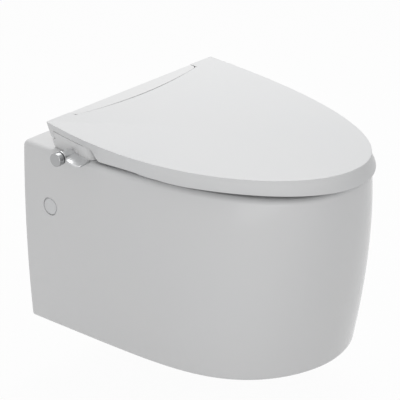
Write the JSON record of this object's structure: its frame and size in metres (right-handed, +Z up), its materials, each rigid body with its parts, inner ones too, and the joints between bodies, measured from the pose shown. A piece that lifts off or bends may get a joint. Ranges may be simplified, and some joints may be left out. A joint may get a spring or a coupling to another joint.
{
  "type": "wall hung bidet toilet",
  "caption": "Wall hung toilet pan with concealed fixings, a closing lid and seat, and a water powered bidet seat worked by a side lever that slides out spray nozzles.",
  "frame": {"origin": "on the wall plane, on the centre line, at the height of the two wall studs", "axes": "+Z up, +Y into the wall, so the pan reaches out along -Y; the user's right is -X"},
  "size_m": [0.4241, 0.519, 0.3529],
  "materials": {
    "glazed_ceramic": "gloss glaze",
    "white_cap": "gloss",
    "seat_plastic": "gloss",
    "housing_plastic": "satin gloss",
    "chrome": "polished",
    "steel": "plain zinc plated",
    "brass": "machined",
    "nylon": "matt",
    "grey_rubber": "matt",
    "dark_rubber": "matt"
  },
  "bodies": {
    "pan": {"ceramic_bowl": "glazed_ceramic", "ceramic_skirt": "glazed_ceramic", "ceramic_trapway": "glazed_ceramic", "ceramic_flush_channel": "glazed_ceramic", "flush_inlet_seal": "dark_rubber", "outlet_seal": "dark_rubber", "mounting_plate": "nylon", "base_tray": "housing_plastic", "top_cover": "housing_plastic", "nozzle_block": "nylon", "feed_hose_rear": "grey_rubber", "feed_hose_bidet": "grey_rubber", "guard_pin": "steel", "valve_body": "brass", "spindle_collar": "housing_plastic", "supply_inlet": "brass", "inlet_pipe": "nylon", "filter_screen": "steel", "side_cap_right": "white_cap", "side_screw_right": "steel", "fixing_block_right": "nylon", "stud_nut_right": "steel", "plate_bolt_right": "steel", "expansion_nut_right": "grey_rubber", "hinge_pin_right": "steel", "side_cap_left": "white_cap", "side_screw_left": "steel", "fixing_block_left": "nylon", "stud_nut_left": "steel", "plate_bolt_left": "steel", "expansion_nut_left": "grey_rubber", "hinge_pin_left": "steel"},
    "lid": {"lid": "seat_plastic", "lid_bumper_rear_right": "grey_rubber", "lid_bumper_front_right": "grey_rubber", "lid_bumper_rear_left": "grey_rubber", "lid_bumper_front_left": "grey_rubber"},
    "seat": {"seat_ring": "seat_plastic", "seat_bumper_rear_right": "grey_rubber", "seat_bumper_front_right": "grey_rubber", "seat_bumper_rear_left": "grey_rubber", "seat_bumper_front_left": "grey_rubber"},
    "lever": {"control_lever": "chrome", "lever_cap": "chrome", "valve_spindle": "steel"},
    "rear_nozzle_slider": {"rear_nozzle": "housing_plastic"},
    "bidet_nozzle_slider": {"bidet_nozzle": "housing_plastic"},
    "guard": {"nozzle_guard": "housing_plastic"},
    "button": {"release_button": "housing_plastic"}
  },
  "joints": [
    {"name": "lid_hinge", "type": "hinge", "parent": "pan", "child": "lid", "pos_m": [0, -0.062, 0.11], "axis": [-1, 0, 0], "range_deg": [0, 94]},
    {"name": "seat_hinge", "type": "hinge", "parent": "pan", "child": "seat", "pos_m": [0, -0.062, 0.11], "axis": [-1, 0, 0], "range_deg": [0, 91]},
    {"name": "lever_turn", "type": "hinge", "parent": "pan", "child": "lever", "pos_m": [-0.2, -0.1085, 0.104], "axis": [1, 0, 0], "range_deg": [-20, 20]},
    {"name": "rear_nozzle_slide", "type": "slide", "parent": "pan", "child": "rear_nozzle_slider", "axis": [0, -0.9511, -0.309], "range_m": [0, 0.045], "stiffness_N_per_m": 15, "springref_m": -0.01},
    {"name": "bidet_nozzle_slide", "type": "slide", "parent": "pan", "child": "bidet_nozzle_slider", "axis": [0, -0.9511, -0.309], "range_m": [0, 0.045], "stiffness_N_per_m": 15, "springref_m": -0.01},
    {"name": "guard_hinge", "type": "hinge", "parent": "pan", "child": "guard", "pos_m": [0, -0.1526, 0.1205], "axis": [-1, 0, 0], "range_deg": [0, 46]},
    {"name": "button_press", "type": "slide", "parent": "pan", "child": "button", "axis": [-1, 0, 0], "range_m": [0, 0.003], "stiffness_N_per_m": 400, "springref_m": -0.001}
  ],
  "couplings": [
    {"joint": "seat_hinge", "follows": "lid_hinge", "ratio": 0.96}
  ]
}
